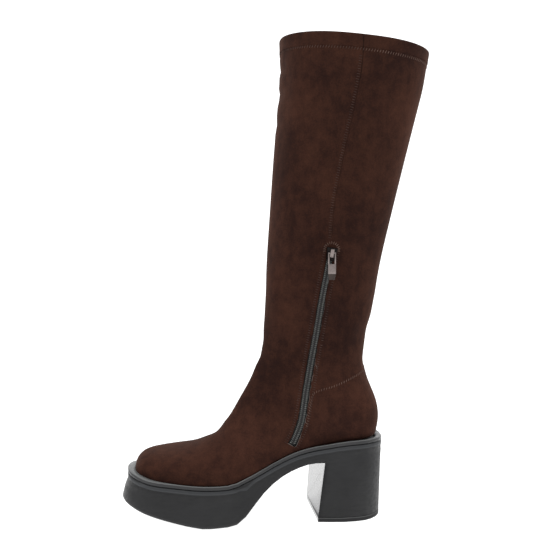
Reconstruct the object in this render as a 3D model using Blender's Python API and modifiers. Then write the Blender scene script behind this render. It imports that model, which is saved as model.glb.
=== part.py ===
# Right knee-high boot with a half-length inner zip, on a moulded platform sole with a block heel.
# Metres. The toe points along -X, the medial side faces -Y, and +Z is up.
# The origin is on the floor, in the middle of the heel's ground face.
import math

import bmesh
import bpy
from mathutils import Vector
from mathutils.bvhtree import BVHTree

# Sizes of the sole
SOLE_LENGTH = 0.246
BALL_WIDTH = 0.092
HEEL_BACK = 0.0335
SEAT_HEIGHT = 0.078
BALL_HEIGHT = 0.0395
TOE_HEIGHT = 0.0520
TOE_SPRING = 0.021
WAIST_THICKNESS = 0.0215
TOE_FLARE = 0.005
SIDE_FLARE = 0.001
EDGE_ROUND = 0.0042
LEDGE_EDGE = 0.0015
HEEL_TAPER = 0.0022
HEEL_BACK_TAPER = 0.0022
BREAST_AT = 0.027
BREAST_LEAN = 0.0075
BREAST_SKEW = 0.0036
BREAST_BLEND = 0.028
TOP_PIECE_HEIGHT = 0.004
TOP_PIECE_EDGE = 0.0006
STATION_STEP = 0.0002

# Sizes of the rim where the upper meets the sole
WELT_HEIGHT = 0.0031
WELT_ROUND = 0.0009
GROOVE_DEPTH = 0.0014
GROOVE_HEIGHT = 0.0010
BAND_HEIGHT = 0.0038
BAND_STEP = 0.0007
WELT_WIDTH = 0.0030
WELT_AT_TOE = 0.0065
WELT_AT_HEEL = 0.0045

# Sizes of the upper
WALL = 0.0018
INSTEP_HEIGHT = 0.100
SHAFT_HEIGHT = 0.379
COLLAR_LENGTH = 0.146
COLLAR_WIDTH = 0.1136
HEM_DEPTH = 0.0135
HEM_STEP = 0.0006
MARGIN_STEPS = 2
OPEN_FROM_RING = 3.6
OPEN_TO_RING = 16.2

# Sizes of the insole and the zip
INSOLE_THICKNESS = 0.0025
INSOLE_INSET = 0.0095
TAPE_WIDTH = 0.024
TAPE_GAP = 0.0010
TAPE_ABOVE_RIM = 0.0050
TAPE_THICKNESS = 0.0008
SLOT_TOP_WIDTH = 0.0066
SLOT_FOOT_WIDTH = 0.0086
SLOT_FROM = 0.029
SLOT_TO = 0.943
SLIDER_AT = 0.925
COIL_WIDTH = 0.0046
SLIDER_LENGTH = 0.0105
SLIDER_WIDTH = 0.0082
SLIDER_THICKNESS = 0.0026
SLIDER_LIFT = 0.0010
BRIDGE_HEIGHT = 0.0036
BRIDGE_WIDTH = 0.0024
BRIDGE_ABOVE = 0.0043
BRIDGE_BELOW = 0.0017
EYE_ABOVE = 0.00126
SLIDER_NARROWING = 0.28
SLIDER_EDGE = 0.0007
PIN_RADIUS = 0.0007
PULL_LENGTH = 0.0245
PULL_WIDTH = 0.0076
PULL_THICKNESS = 0.0015
PRONG_LENGTH = 0.0046
PRONG_WIDTH = 0.0012
PRONG_OVERLAP = 0.0018
PULL_EDGE = 0.0005
PULL_WINDOW_LENGTH = 0.0080
PULL_WINDOW_WIDTH = 0.0042
PULL_WINDOW_BELOW = 0.0016
PULL_WINDOW_ROUND = 0.0012

# Clearances between pieces
GAP = 0.0003
CURVED_GAP = 0.0005

# How finely the forms are divided
RING_POINTS = 40
RINGS_PER_ROW = 1.35
ARCH_STATIONS = 30
HEEL_STATIONS = 9

# Rim outline in equal steps of angle from toe to heel: shares of the ball width from the heel line
OUTLINE = (
    ("medial", "lateral"),
    (0.035, -0.035),
    (0.215, 0.135),
    (0.330, 0.275),
    (0.412, 0.385),
    (0.460, 0.452),
    (0.480, 0.500),
    (0.473, 0.524),
    (0.430, 0.508),
    (0.375, 0.468),
    (0.350, 0.430),
    (0.357, 0.410),
    (0.398, 0.408),
    (0.420, 0.410),
    (0.392, 0.382),
    (0.303, 0.303),
    (0.178, 0.178),
    (0.000, 0.000),
)

# Side view of the sole: along is the share of the length behind the toe tip
RIM = (
    ("along", "toe_rise", "seat_rise"),
    (0.000, 1.00, 0.000),
    (0.090, 0.52, 0.000),
    (0.180, 0.33, 0.000),
    (0.290, 0.07, 0.000),
    (0.380, 0.00, 0.005),
    (0.475, 0.00, 0.205),
    (0.565, 0.00, 0.490),
    (0.655, 0.00, 0.740),
    (0.750, 0.00, 0.885),
    (0.860, 0.00, 0.990),
    (0.940, 0.00, 1.000),
    (1.000, 0.00, 0.970),
)
UNDERSIDE = (
    ("along", "spring", "arch"),
    (0.000, 1.00, 0.000),
    (0.060, 0.75, 0.000),
    (0.120, 0.53, 0.000),
    (0.180, 0.32, 0.000),
    (0.240, 0.13, 0.000),
    (0.300, 0.00, 0.000),
    (0.385, 0.00, 0.000),
    (0.420, 0.00, 0.035),
    (0.447, 0.00, 0.135),
    (0.472, 0.00, 0.270),
    (0.517, 0.00, 0.510),
    (0.563, 0.00, 0.690),
    (0.610, 0.00, 0.825),
    (0.655, 0.00, 0.915),
    (0.700, 0.00, 0.975),
    (0.740, 0.00, 1.000),
)

# Foot sections, toe to heel: along is the share of the length ahead of the heel back, high is the
# share of the instep height above the footbed, full is the share of the room inside the welt
FOOT = (
    ("top_along", "top_high", "low_along", "low_high", "full", "wide", "top_power", "low_power"),
    (0.9710, 0.042, 0.9710, 0.010, 0.80, 0.60, 2.0, 2.5),
    (0.9680, 0.090, 0.9675, 0.004, 1.00, 0.62, 2.1, 4.0),
    (0.9570, 0.147, 0.9550, 0.005, 1.00, 0.64, 2.2, 6.0),
    (0.9340, 0.206, 0.9310, 0.005, 1.00, 0.66, 2.3, 8.0),
    (0.8970, 0.246, 0.8930, 0.005, 1.00, 0.66, 2.3, 8.0),
    (0.8430, 0.273, 0.8370, 0.005, 1.00, 0.66, 2.3, 8.0),
    (0.7880, 0.304, 0.7760, 0.005, 1.00, 0.66, 2.2, 8.0),
    (0.7440, 0.334, 0.7160, 0.005, 1.00, 0.67, 2.1, 8.0),
    (0.7100, 0.371, 0.6550, 0.005, 1.00, 0.68, 2.0, 8.0),
    (0.6790, 0.410, 0.5950, 0.005, 1.00, 0.70, 1.9, 8.0),
    (0.6530, 0.455, 0.5300, 0.005, 1.00, 0.72, 1.9, 8.0),
    (0.6270, 0.530, 0.4620, 0.005, 1.00, 0.74, 1.9, 8.0),
    (0.6030, 0.602, 0.3890, 0.005, 1.00, 0.76, 1.9, 8.0),
    (0.5830, 0.673, 0.3125, 0.005, 0.99, 0.78, 1.9, 8.0),
    (0.5625, 0.745, 0.2320, 0.005, 0.98, 0.80, 1.9, 8.0),
    (0.5440, 0.803, 0.1510, 0.005, 0.97, 0.80, 1.9, 6.0),
    (0.5280, 0.858, 0.0900, 0.005, 0.96, 0.79, 1.9, 4.0),
    (0.5110, 0.922, 0.0360, 0.026, 0.95, 0.76, 1.9, 2.8),
    (0.4970, 0.990, 0.0175, 0.119, 0.93, 0.72, 1.9, 2.4),
)

# Shaft sections, ankle to collar: high is the share of the shaft height above the seat, front and
# back are shares of the collar length from the heel line, the sides are shares of the collar width
SHAFT = (
    ("front_high", "front", "back_high", "back", "medial", "lateral", "wide", "front_power",
     "back_power"),
    (0.2045, 0.579, 0.0515, 0.207, 0.304, 0.256, 0.69, 1.9, 2.4),
    (0.2256, 0.569, 0.0844, 0.193, 0.301, 0.226, 0.65, 1.9, 2.4),
    (0.2480, 0.563, 0.1160, 0.163, 0.305, 0.207, 0.61, 1.9, 2.3),
    (0.2744, 0.560, 0.1517, 0.127, 0.313, 0.213, 0.57, 1.9, 2.2),
    (0.3060, 0.555, 0.1900, 0.106, 0.327, 0.235, 0.54, 2.0, 2.2),
    (0.3400, 0.550, 0.2296, 0.107, 0.339, 0.251, 0.52, 2.0, 2.1),
    (0.3770, 0.545, 0.2770, 0.133, 0.350, 0.266, 0.50, 2.0, 2.1),
    (0.4220, 0.541, 0.3350, 0.170, 0.366, 0.289, 0.50, 2.0, 2.1),
    (0.4855, 0.532, 0.4300, 0.210, 0.393, 0.328, 0.50, 2.0, 2.1),
    (0.5990, 0.511, 0.5700, 0.294, 0.421, 0.373, 0.50, 2.1, 2.1),
    (0.7280, 0.488, 0.7200, 0.389, 0.458, 0.422, 0.50, 2.1, 2.1),
    (0.8496, 0.458, 0.8440, 0.468, 0.489, 0.453, 0.50, 2.1, 2.2),
    (0.9220, 0.448, 0.9000, 0.500, 0.509, 0.473, 0.50, 2.2, 2.2),
    (0.9990, 0.450, 0.9650, 0.525, 0.515, 0.479, 0.50, 2.2, 2.2),
)

# Middle line of the zip, foot to top: shares of the collar length ahead of the heel line and of
# the shaft height above the seat
ZIP_LINE = (
    ("step", "ahead", "high"),
    (0.000, 0.412, -0.020),
    (0.029, 0.398, -0.012),
    (0.113, 0.354, 0.025),
    (0.190, 0.327, 0.066),
    (0.418, 0.279, 0.190),
    (0.683, 0.224, 0.335),
    (0.957, 0.159, 0.482),
    (1.000, 0.149, 0.505),
)

COLOURS = {
    "suede": (0.045, 0.019, 0.013),
    "sole_rubber": (0.042, 0.040, 0.041),
    "welt_rubber": (0.060, 0.058, 0.058),
    "top_piece": (0.030, 0.029, 0.029),
    "insole": (0.120, 0.085, 0.060),
    "tape": (0.022, 0.018, 0.017),
    "coil": (0.030, 0.027, 0.027),
    "metal": (0.220, 0.190, 0.180),
}


def clear_scene():
    for old in list(bpy.data.objects):
        bpy.data.objects.remove(old, do_unlink=True)


def make_collection(name):
    collection = bpy.data.collections.new(name)
    bpy.context.scene.collection.children.link(collection)
    return collection


def make_material(name, colour, roughness, metallic=0.0):
    material = bpy.data.materials.new(name)
    material.use_nodes = True
    shader = material.node_tree.nodes["Principled BSDF"]
    shader.inputs["Base Color"].default_value = (*colour, 1.0)
    shader.inputs["Roughness"].default_value = roughness
    shader.inputs["Metallic"].default_value = metallic
    return material


def make_object(name, mesh, material, collection):
    piece = bpy.data.objects.new(name, mesh)
    if material is not None:
        mesh.materials.append(material)
    collection.objects.link(piece)
    return piece


def mesh_from(name, points, faces):
    mesh = bpy.data.meshes.new(name)
    mesh.from_pydata([tuple(p) for p in points], [], faces)
    mesh.validate()
    return mesh


def outward(mesh):
    shape = bmesh.new()
    shape.from_mesh(mesh)
    bmesh.ops.recalc_face_normals(shape, faces=shape.faces)
    shape.to_mesh(mesh)
    shape.free()


def smooth(mesh, degrees=40.0):
    mesh.shade_smooth()
    mesh.set_sharp_from_angle(angle=math.radians(degrees))


def mix(a, b, share):
    return a + (b - a) * share


def ease(share):
    share = min(max(share, 0.0), 1.0)
    return share * share * (3.0 - 2.0 * share)


def hermite(keys, values, at):
    # Cubic through the values, with slopes that never overshoot
    if at <= keys[0]:
        return values[0]
    if at >= keys[-1]:
        return values[-1]
    k = max(i for i in range(len(keys) - 1) if keys[i] <= at)

    def slope(i):
        if i == 0 or i == len(keys) - 1:
            j = min(i, len(keys) - 2)
            return (values[j + 1] - values[j]) / (keys[j + 1] - keys[j])
        before = (values[i] - values[i - 1]) / (keys[i] - keys[i - 1])
        after = (values[i + 1] - values[i]) / (keys[i + 1] - keys[i])
        if before * after <= 0.0:
            return 0.0
        return 2.0 * before * after / (before + after)

    width = keys[k + 1] - keys[k]
    t = (at - keys[k]) / width
    start = values[k] + (values[k + 1] - values[k]) * t * t * (3.0 - 2.0 * t)
    bend = slope(k) * width * t * (1.0 - t) ** 2 - slope(k + 1) * width * t * t * (1.0 - t)
    return start + bend


def column(table, name):
    place = table[0].index(name)
    return [row[place] for row in table[1:]]


def look_up(table, key, name, at):
    return hermite(column(table, key), column(table, name), at)


def along_of_angle(angle):
    return (1.0 - math.cos(angle)) / 2.0


def angle_of_along(along):
    return math.acos(1.0 - 2.0 * min(max(along, 0.0), 1.0))


def x_of_along(along):
    # Along runs from the toe tip of the rim to its heel back
    return HEEL_BACK - SOLE_LENGTH * (1.0 - along)


def along_of_x(x):
    return 1.0 - (HEEL_BACK - x) / SOLE_LENGTH


def rim_side(angle, side):
    # Signed distance from the heel line to the rim, medial side negative
    steps = [math.pi * i / (len(OUTLINE) - 2) for i in range(len(OUTLINE) - 1)]
    share = hermite(steps, column(OUTLINE, side), angle)
    return (-share if side == "medial" else share) * BALL_WIDTH


def rim_height(x):
    along = along_of_x(x)
    toe = look_up(RIM, "along", "toe_rise", along) * (TOE_HEIGHT - BALL_HEIGHT)
    seat = look_up(RIM, "along", "seat_rise", along) * (SEAT_HEIGHT - BALL_HEIGHT)
    return BALL_HEIGHT + toe + seat


def ledge_height(x):
    return rim_height(x) - WELT_HEIGHT - GAP


def underside_height(x):
    along = along_of_x(x)
    spring = look_up(UNDERSIDE, "along", "spring", along) * TOE_SPRING
    arch = look_up(UNDERSIDE, "along", "arch", along) * (SEAT_HEIGHT - WAIST_THICKNESS)
    return spring + arch


def toe_share(x):
    # 1 at the toe tip, 0 from the ball back
    return 1.0 - ease(along_of_x(x) / 0.22)


def heel_share(x):
    # 1 at the heel back, 0 from the breast forward
    return ease((x + BREAST_AT) / (BREAST_AT + HEEL_BACK))


def heel_taper(x):
    return mix(HEEL_TAPER, HEEL_BACK_TAPER, ease(x / HEEL_BACK))


def breast_share(x):
    # 1 at the breast, fading towards the heel back
    return 1.0 - ease((x + BREAST_AT) / (2.0 * BREAST_AT))


def breast_skew(source, y, lower):
    # The breast runs a little towards the toe on the lateral side, below the band
    near = max(1.0 - abs(source.x + BREAST_AT) / BREAST_BLEND, 0.0)
    side = 0.5 + y / BALL_WIDTH
    return BREAST_SKEW * lower * side * ease(near)


def welt_width(x):
    toe = toe_share(x) * (WELT_AT_TOE - WELT_WIDTH)
    heel = heel_share(x) * (WELT_AT_HEEL - WELT_WIDTH)
    return WELT_WIDTH + toe + heel


def station_angles():
    # Stations from toe to heel, close together on both sides of the heel's breast
    breast = angle_of_along(along_of_x(-BREAST_AT))
    step = 0.004
    front = [breast * i / ARCH_STATIONS for i in range(ARCH_STATIONS)]
    back = [mix(breast + step, math.pi, i / HEEL_STATIONS) for i in range(HEEL_STATIONS + 1)]
    return front + [breast] + back


def rim_loop(angles, inset):
    # Closed loop of points in plan: toe tip, medial side, heel back, lateral side
    plan = []
    for angle in angles:
        plan.append(Vector((x_of_along(along_of_angle(angle)), rim_side(angle, "medial"))))
    for angle in reversed(angles[1:-1]):
        plan.append(Vector((x_of_along(along_of_angle(angle)), rim_side(angle, "lateral"))))
    return inset_loop(plan, inset)


def inset_loop(plan, inset):
    moved = []
    count = len(plan)
    for i, point in enumerate(plan):
        ahead = (plan[(i + 1) % count] - point).normalized()
        behind = (point - plan[i - 1]).normalized()
        run = (ahead + behind).normalized()
        inward = Vector((-run.y, run.x))
        moved.append(point + inward * inset(point.x))
    return moved


def strip_cap(count, first, flip):
    # Quads across a loop that is paired side to side, with a triangle at each end
    faces = []
    for i in range(count // 2):
        near = first + i
        near_next = first + i + 1
        far = first + (count - i) % count
        far_next = first + (count - i - 1) % count
        face = [near, near_next, far_next, far]
        face = [p for n, p in enumerate(face) if p not in face[:n]]
        faces.append(tuple(reversed(face)) if flip else tuple(face))
    return faces


def loft(name, loops):
    # Stack of loops with the same count, closed by strips at both ends
    count = len(loops[0])
    points = [p for loop in loops for p in loop]
    faces = []
    for level in range(len(loops) - 1):
        for i in range(count):
            a = level * count + i
            b = level * count + (i + 1) % count
            faces.append((a, b, b + count, a + count))
    faces += strip_cap(count, 0, True)
    faces += strip_cap(count, (len(loops) - 1) * count, False)
    mesh = mesh_from(name, points, faces)
    outward(mesh)
    return mesh


def build_sole(collection):
    angles = station_angles()
    front = -BREAST_AT + STATION_STEP
    ledge = GAP + WELT_HEIGHT

    def edge(x):
        # The rounded lower edge fades out where the heel block begins
        return EDGE_ROUND * (1.0 - 0.45 * ease((along_of_x(x) - 0.40) / 0.12))

    def flare(x):
        side = SIDE_FLARE * (1.0 - ease((along_of_x(x) - 0.40) / 0.25))
        return side + toe_share(x) * (TOE_FLARE - SIDE_FLARE)

    def low(x):
        return underside_height(x) if x <= front else TOP_PIECE_HEIGHT + GAP

    def wall_foot(x):
        return underside_height(x) + edge(x) if x <= front else SEAT_HEIGHT - WAIST_THICKNESS

    band = ledge + GROOVE_HEIGHT
    step = band + BAND_HEIGHT
    levels = (
        (lambda x: LEDGE_EDGE + GROOVE_DEPTH, lambda x: rim_height(x) - ledge),
        (lambda x: GROOVE_DEPTH, lambda x: rim_height(x) - ledge),
        (lambda x: GROOVE_DEPTH, lambda x: rim_height(x) - band + GAP),
        (lambda x: 0.0, lambda x: rim_height(x) - band),
        (lambda x: 0.0, lambda x: rim_height(x) - step),
        (lambda x: BAND_STEP, lambda x: rim_height(x) - step - GAP),
        (lambda x: mix(BAND_STEP, -flare(x), 0.6),
         lambda x: mix(rim_height(x) - step, wall_foot(x), 0.5)),
        (lambda x: -flare(x) if x <= front else BAND_STEP, wall_foot),
        (lambda x: 0.3 * edge(x) - flare(x) if x <= front else heel_taper(x),
         lambda x: low(x) + 0.35 * edge(x)),
        (lambda x: edge(x) - flare(x) if x <= front else heel_taper(x) + TOP_PIECE_EDGE, low),
    )
    loops = []
    rim = rim_loop(angles, lambda x: 0.0)
    for level, (inset, height) in enumerate(levels):
        plan = rim_loop(angles, inset)
        loops.append([Vector((p.x, p.y, 0.0)) for p in plan])
        lower = min(max((level - 5) / 2.0, 0.0), 1.0)
        for point, source in zip(loops[-1], rim):
            point.z = height(min(point.x, front) if source.x <= front else max(point.x, front + STATION_STEP))
            drop = max(1.0 - (point.z - TOP_PIECE_HEIGHT) / (SEAT_HEIGHT - WAIST_THICKNESS), 0.0)
            point.x -= breast_skew(source, point.y, lower) * (1.0 - drop)
            if source.x > front:
                # The breast leans forward towards the floor
                point.x -= BREAST_LEAN * drop * breast_share(source.x)
    mesh = loft("sole", loops)
    smooth(mesh, 32.0)
    material = make_material("sole_rubber", COLOURS["sole_rubber"], 0.55)
    return make_object("sole", mesh, material, collection)


def heel_ground_loop(inset):
    # Outline of the heel's ground face: the rim's heel stations, drawn in by the heel's taper
    front = -BREAST_AT + STATION_STEP
    angles = station_angles()
    plan = rim_loop(angles, lambda x: heel_taper(x) + inset)
    rim = rim_loop(angles, lambda x: 0.0)
    loop = []
    for point, source in zip(plan, rim):
        if source.x > front:
            loop.append(Vector((point.x - BREAST_LEAN * breast_share(source.x), point.y)))
    first = min(point.x for point in loop)
    for point in loop:
        point.x = max(point.x, first + inset)
    return loop


def build_top_piece(collection):
    loops = []
    levels = ((TOP_PIECE_EDGE, 0.0), (0.0, TOP_PIECE_EDGE), (0.0, TOP_PIECE_HEIGHT))
    for inset, height in levels:
        loops.append([Vector((p.x, p.y, height)) for p in heel_ground_loop(inset)])
    count = len(loops[0])
    points = [p for loop in loops for p in loop]
    faces = [tuple(range(count)), tuple(range(2 * count, 3 * count))]
    for level in range(2):
        for i in range(count):
            a = level * count + i
            b = level * count + (i + 1) % count
            faces.append((a, b, b + count, a + count))
    mesh = mesh_from("heel_top_piece", points, faces)
    outward(mesh)
    smooth(mesh, 32.0)
    material = make_material("top_piece", COLOURS["top_piece"], 0.6)
    return make_object("heel_top_piece", mesh, material, collection)


def build_welt(collection):
    angles = station_angles()
    levels = (
        (welt_width, lambda x: rim_height(x) - WELT_HEIGHT),
        (welt_width, lambda x: rim_height(x) - WELT_ROUND),
        (lambda x: welt_width(x) - WELT_ROUND, rim_height),
        (lambda x: WELT_ROUND, rim_height),
        (lambda x: 0.0, lambda x: rim_height(x) - WELT_ROUND),
        (lambda x: 0.0, lambda x: rim_height(x) - WELT_HEIGHT),
    )
    loops = []
    for inset, height in levels:
        plan = rim_loop(angles, inset)
        loops.append([Vector((p.x, p.y, height(p.x))) for p in plan])
    count = len(loops[0])
    points = [p for loop in loops for p in loop]
    faces = []
    for level in range(len(loops)):
        start = level * count
        other = ((level + 1) % len(loops)) * count
        for i in range(count):
            j = (i + 1) % count
            faces.append((start + i, start + j, other + j, other + i))
    mesh = mesh_from("welt", points, faces)
    outward(mesh)
    smooth(mesh, 50.0)
    material = make_material("welt_rubber", COLOURS["welt_rubber"], 0.45)
    return make_object("welt", mesh, material, collection)


def inner_sides():
    # Both sides of the room that the welt leaves for the upper, each as x and distance from the line
    angles = [math.pi * i / 96 for i in range(97)]
    loop = rim_loop(angles, lambda x: welt_width(x) + CURVED_GAP)
    medial = [(p.x, -p.y) for p in loop[:len(angles)]]
    lateral = [(p.x, p.y) for p in [loop[0]] + list(reversed(loop[len(angles) - 1:]))]
    return medial, lateral


def side_at(side, x):
    if x <= side[0][0]:
        return side[0][1]
    for near, far in zip(side, side[1:]):
        if near[0] <= x <= far[0]:
            return mix(near[1], far[1], (x - near[0]) / max(far[0] - near[0], 1e-9))
    return side[-1][1]


def foot_row(row, sides):
    top_along, top_high, low_along, low_high, full, wide, top_power, low_power = row
    top_x = HEEL_BACK - top_along * SOLE_LENGTH
    low_x = HEEL_BACK - low_along * SOLE_LENGTH
    top = (top_x, ledge_height(top_x) + top_high * INSTEP_HEIGHT)
    low = (low_x, ledge_height(low_x) + low_high * INSTEP_HEIGHT)
    wide_x = mix(top_x, low_x, wide)
    medial = side_at(sides[0], wide_x) * full
    lateral = side_at(sides[1], wide_x) * full
    return (*top, *low, medial, lateral, wide, top_power, low_power)


def shaft_row(row):
    front_high, front, back_high, back, medial, lateral, wide, front_power, back_power = row
    top = (-front * COLLAR_LENGTH, SEAT_HEIGHT + front_high * SHAFT_HEIGHT)
    low = (back * COLLAR_LENGTH, SEAT_HEIGHT + back_high * SHAFT_HEIGHT)
    sides = (medial * COLLAR_WIDTH, lateral * COLLAR_WIDTH)
    return (*top, *low, *sides, wide, front_power, back_power)


def ring_points(values):
    top_x, top_z, low_x, low_z, medial, lateral, wide, top_power, low_power = values
    points = []
    for i in range(RING_POINTS):
        angle = 2.0 * math.pi * i / RING_POINTS
        c = math.cos(angle)
        s = math.sin(angle)
        power = top_power if c >= 0.0 else low_power
        run = abs(c) ** (2.0 / power)
        out = abs(s) ** (2.0 / power)
        share = wide * (1.0 - run) if c >= 0.0 else wide + (1.0 - wide) * run
        width = -medial * out if s >= 0.0 else lateral * out
        points.append(Vector((mix(top_x, low_x, share), width, mix(top_z, low_z, share))))
    return points


def upper_rings():
    sides = inner_sides()
    rows = [foot_row(row, sides) for row in FOOT[1:]] + [shaft_row(row) for row in SHAFT[1:]]
    keys = list(range(len(rows)))
    columns = [[row[c] for row in rows] for c in range(len(rows[0]))]
    hem_share = HEM_DEPTH / SHAFT_HEIGHT / (SHAFT[-1][0] - SHAFT[-2][0])
    hem = keys[-1] - hem_share
    count = int(hem * RINGS_PER_ROW)
    places = [hem * i / count for i in range(count + 1)]
    rings = [ring_points([hermite(keys, c, at) for c in columns]) for at in places]
    # The folded hem stands a step proud of the shaft
    axis = Vector((0.5 * (rings[-1][0].x + rings[-1][RING_POINTS // 2].x), 0.0, 0.0))
    for at in (hem + 0.04, mix(hem, keys[-1], 0.55), keys[-1]):
        ring = ring_points([hermite(keys, c, at) for c in columns])
        for point in ring:
            out = Vector((point.x - axis.x, point.y, 0.0)).normalized()
            point += out * HEM_STEP
        rings.append(ring)
    return places, rings


def open_surface():
    places, rings = upper_rings()
    points = [p for ring in rings for p in ring]
    faces = []
    half = RING_POINTS // 2
    for level in range(len(rings) - 1):
        at = places[level] if level < len(places) else places[-1]
        for i in range(RING_POINTS):
            under = abs(i + 0.5 - half) < MARGIN_STEPS
            if under and OPEN_FROM_RING < at < OPEN_TO_RING:
                continue
            a = level * RING_POINTS + i
            b = level * RING_POINTS + (i + 1) % RING_POINTS
            faces.append((a, b, b + RING_POINTS, a + RING_POINTS))
    faces.append(tuple(range(RING_POINTS)))
    return points, faces


def build_upper(collection, cutters):
    points, faces = open_surface()
    mesh = mesh_from("upper", points, faces)
    outward(mesh)
    shape = bmesh.new()
    shape.from_mesh(mesh)
    bmesh.ops.delete(shape, geom=[v for v in shape.verts if not v.link_faces], context="VERTS")
    shape.to_mesh(mesh)
    shape.free()
    smooth(mesh, 60.0)
    corners = [v.co[:] for v in mesh.vertices]
    skin = BVHTree.FromPolygons(corners, [p.vertices[:] for p in mesh.polygons])
    material = make_material("suede", COLOURS["suede"], 0.9)
    piece = make_object("upper", mesh, material, collection)
    wall = piece.modifiers.new("wall", "SOLIDIFY")
    wall.thickness = WALL
    wall.offset = -1.0
    slot = build_slot_cutter(cutters)
    cut = piece.modifiers.new("zip_slot", "BOOLEAN")
    cut.operation = "DIFFERENCE"
    cut.solver = "EXACT"
    cut.object = slot
    return piece, skin


def zip_point(step):
    ahead = look_up(ZIP_LINE, "step", "ahead", step)
    high = look_up(ZIP_LINE, "step", "high", step)
    return Vector((-ahead * COLLAR_LENGTH, SEAT_HEIGHT + high * SHAFT_HEIGHT))


def zip_across(step):
    run = (zip_point(min(step + 0.01, 1.0)) - zip_point(max(step - 0.01, 0.0))).normalized()
    return Vector((run.y, -run.x))


def build_slot_cutter(cutters):
    # A ribbon in side view with a round top, pushed through the medial wall only
    count = 16
    steps = [mix(SLOT_FROM, SLOT_TO, i / count) for i in range(count + 1)]
    back = []
    front = []
    for step in steps:
        half = 0.5 * mix(SLOT_FOOT_WIDTH, SLOT_TOP_WIDTH, step)
        back.append(zip_point(step) + zip_across(step) * half)
        front.append(zip_point(step) - zip_across(step) * half)
    crown = []
    top = zip_point(SLOT_TO)
    across = zip_across(SLOT_TO)
    rise = Vector((-across.y, across.x))
    for i in range(1, 4):
        angle = math.pi * i / 4
        radius = 0.5 * SLOT_TOP_WIDTH
        crown.append(top + (across * math.cos(angle) + rise * math.sin(angle)) * radius)
    outline = back + crown + list(reversed(front))
    reach = (-COLLAR_WIDTH, -0.1 * COLLAR_WIDTH)
    points = [Vector((p.x, y, p.y)) for y in reach for p in outline]
    total = len(outline)
    faces = [tuple(range(total)), tuple(range(total, 2 * total))]
    for i in range(total):
        j = (i + 1) % total
        faces.append((i, j, j + total, i + total))
    mesh = mesh_from("zip_slot_cutter", points, faces)
    outward(mesh)
    piece = make_object("zip_slot_cutter", mesh, None, cutters)
    piece.hide_render = True
    piece.display_type = "WIRE"
    return piece


def on_skin(skin, flat, depth):
    # Point under the medial skin at a place in side view, and the skin's outward normal
    reach = 0.004
    hits = []
    for right, above in ((0.0, 0.0), (reach, 0.0), (-reach, 0.0), (0.0, reach), (0.0, -reach)):
        start = Vector((flat.x + right, -1.0, flat.y + above))
        hits.append(skin.ray_cast(start, Vector((0.0, 1.0, 0.0)))[0])
    normal = (hits[1] - hits[2]).cross(hits[3] - hits[4]).normalized()
    if normal.y > 0.0:
        normal = -normal
    return hits[0] - normal * depth, normal


def zip_strip(name, skin, steps, width, shallow, deep, across=4):
    # A strip along the zip line between two depths under the skin
    rows = len(steps)
    columns = across + 1
    points = []
    for depth in (shallow, deep):
        for step in steps:
            for c in range(columns):
                flat = zip_point(step) + zip_across(step) * width * (c / across - 0.5)
                flat.y = max(flat.y, rim_height(flat.x) + TAPE_ABOVE_RIM)
                place, _ = on_skin(skin, flat, depth)
                points.append(place)
    layer = rows * columns
    faces = []
    for r in range(rows - 1):
        for c in range(columns - 1):
            a = r * columns + c
            face = (a, a + 1, a + 1 + columns, a + columns)
            faces.append(face)
            faces.append(tuple(p + layer for p in reversed(face)))
    edge = list(range(columns))
    edge += [r * columns + columns - 1 for r in range(1, rows)]
    edge += [(rows - 1) * columns + c for c in range(columns - 2, -1, -1)]
    edge += [r * columns for r in range(rows - 2, 0, -1)]
    for i, a in enumerate(edge):
        b = edge[(i + 1) % len(edge)]
        faces.append((a, b, b + layer, a + layer))
    mesh = mesh_from(name, points, faces)
    outward(mesh)
    smooth(mesh, 50.0)
    return mesh


def build_zip_strips(skin, collection):
    tape_top = WALL + TAPE_GAP
    tape_steps = [i / 20 for i in range(21)]
    tape = zip_strip("zip_tape", skin, tape_steps, TAPE_WIDTH, tape_top, tape_top + TAPE_THICKNESS)
    make_object("zip_tape", tape, make_material("tape", COLOURS["tape"], 0.8), collection)
    coil_steps = [mix(SLOT_FROM + 0.006, SLOT_TO, i / 24) for i in range(25)]
    coil = zip_strip("zip_coil", skin, coil_steps, COIL_WIDTH, 0.0, tape_top - GAP, across=2)
    make_object("zip_coil", coil, make_material("coil", COLOURS["coil"], 0.5), collection)


def slider_frame(skin):
    # Origin on the skin near the zip's top, with axes up the zip, across it and out of the boot
    place, normal = on_skin(skin, zip_point(SLIDER_AT), 0.0)
    above, _ = on_skin(skin, zip_point(SLIDER_AT + 0.05), 0.0)
    up = (above - place).normalized()
    out = (normal - up * normal.dot(up)).normalized()
    across = up.cross(out).normalized()
    return place, up, across, out


def box_piece(shape, centre, up, across, out, size):
    # Adds a box of size (across, up, out) at a centre
    made = bmesh.ops.create_cube(shape, size=1.0)
    for vert in made["verts"]:
        local = vert.co.copy()
        vert.co = centre + across * local.x * size[0] + up * local.y * size[1] + out * local.z * size[2]
    turn_outward(shape)
    return made["verts"]


def turn_outward(shape):
    # A mirrored set of axes turns a shape inside out, so it is turned back
    if shape.calc_volume(signed=True) < 0.0:
        bmesh.ops.reverse_faces(shape, faces=shape.faces)


def object_from_shape(name, shape, material, collection):
    turn_outward(shape)
    mesh = bpy.data.meshes.new(name)
    shape.to_mesh(mesh)
    shape.free()
    return make_object(name, mesh, material, collection)


def boolean_join(piece, other, operation, solver="EXACT"):
    join = piece.modifiers.new(other.name, "BOOLEAN")
    join.operation = operation
    join.solver = solver
    join.object = other
    other.hide_render = True
    other.display_type = "WIRE"


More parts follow.
